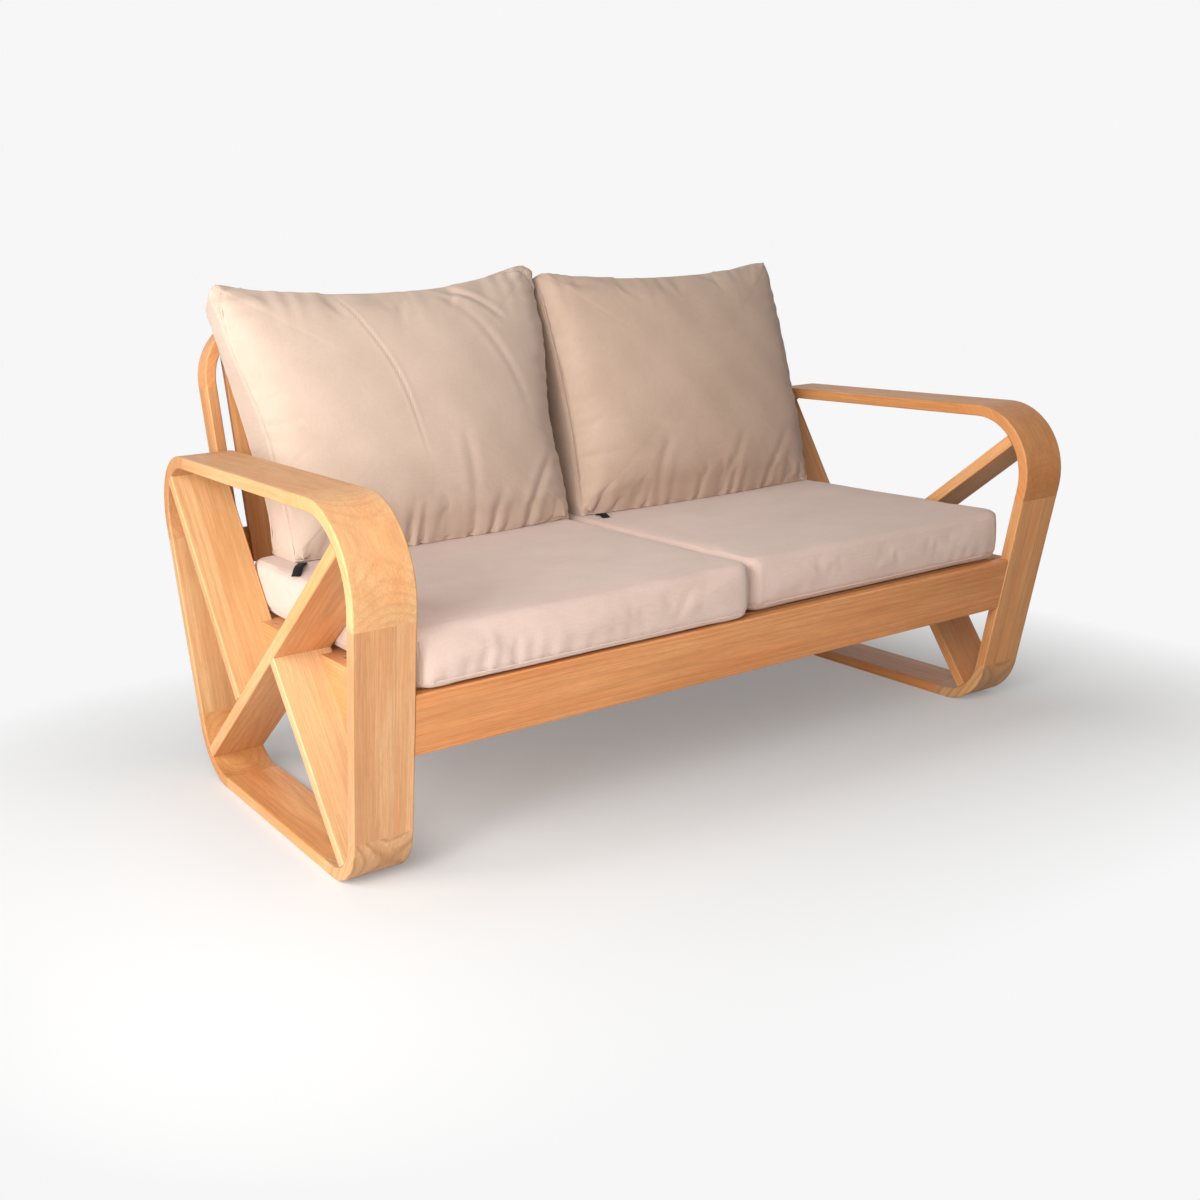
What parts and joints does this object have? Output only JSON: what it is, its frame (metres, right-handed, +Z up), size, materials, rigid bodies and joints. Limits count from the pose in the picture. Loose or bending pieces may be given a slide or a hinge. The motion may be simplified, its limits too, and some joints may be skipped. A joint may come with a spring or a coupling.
{
  "type": "patio loveseat",
  "caption": "Wooden patio loveseat with rounded loop sides crossed by diagonal braces, a slatted seat and back, and loose boxed seat and back cushions for outdoor sitting.",
  "frame": {"origin": "on the floor, under the middle of the whole part", "axes": "+X along the seat, +Y from the front edge to the back, +Z up"},
  "size_m": [1.52, 0.8892, 0.9102],
  "materials": {
    "teak": "oiled, satin",
    "seat_fabric": "matte woven",
    "back_fabric": "matte woven",
    "tag_fabric": "matte",
    "steel": "satin"
  },
  "bodies": {
    "frame": {"left_armrest": "teak", "left_front_upper_corner": "teak", "left_front_leg": "teak", "left_front_lower_corner": "teak", "left_runner": "teak", "left_rear_lower_corner": "teak", "left_rear_leg": "teak", "left_rear_upper_corner": "teak", "left_long_brace": "teak", "left_rear_strut": "teak", "left_front_strut": "teak", "left_side_rail": "teak", "right_armrest": "teak", "right_front_upper_corner": "teak", "right_front_leg": "teak", "right_front_lower_corner": "teak", "right_runner": "teak", "right_rear_lower_corner": "teak", "right_rear_leg": "teak", "right_rear_upper_corner": "teak", "right_long_brace": "teak", "right_rear_strut": "teak", "right_front_strut": "teak", "right_side_rail": "teak", "front_rail": "teak", "rear_rail": "teak", "centre_bearer": "teak", "seat_slat_1": "teak", "seat_slat_2": "teak", "seat_slat_3": "teak", "seat_slat_4": "teak", "seat_slat_5": "teak", "seat_slat_6": "teak", "back_top_rail": "teak", "back_left_corner": "teak", "back_right_corner": "teak", "back_left_stile": "teak", "back_right_stile": "teak", "back_lower_rail": "teak", "back_slat_1": "teak", "back_slat_2": "teak", "back_slat_3": "teak", "back_slat_4": "teak", "back_slat_5": "teak", "back_slat_6": "teak", "back_slat_7": "teak", "back_slat_8": "teak", "back_slat_9": "teak", "loop_tenons": "teak", "dowels": "teak", "frame_bolts": "steel", "threaded_inserts": "steel", "slat_screws": "steel"},
    "left_seat_pad": {"left_seat_cushion": "seat_fabric"},
    "right_seat_pad": {"right_seat_cushion": "seat_fabric"},
    "left_back_pad": {"left_back_cushion": "back_fabric", "left_cushion_tag": "tag_fabric"},
    "right_back_pad": {"right_back_cushion": "back_fabric", "right_cushion_tag": "tag_fabric"}
  },
  "joints": [
    {"name": "left_seat_lift", "type": "slide", "parent": "frame", "child": "left_seat_pad", "axis": [0, 0, 1], "range_m": [0, 0.25]},
    {"name": "right_seat_lift", "type": "slide", "parent": "frame", "child": "right_seat_pad", "axis": [0, 0, 1], "range_m": [0, 0.25]},
    {"name": "left_back_lift", "type": "slide", "parent": "left_seat_pad", "child": "left_back_pad", "axis": [0, 0, 1], "range_m": [0, 0.3]},
    {"name": "right_back_lift", "type": "slide", "parent": "right_seat_pad", "child": "right_back_pad", "axis": [0, 0, 1], "range_m": [0, 0.3]}
  ]
}
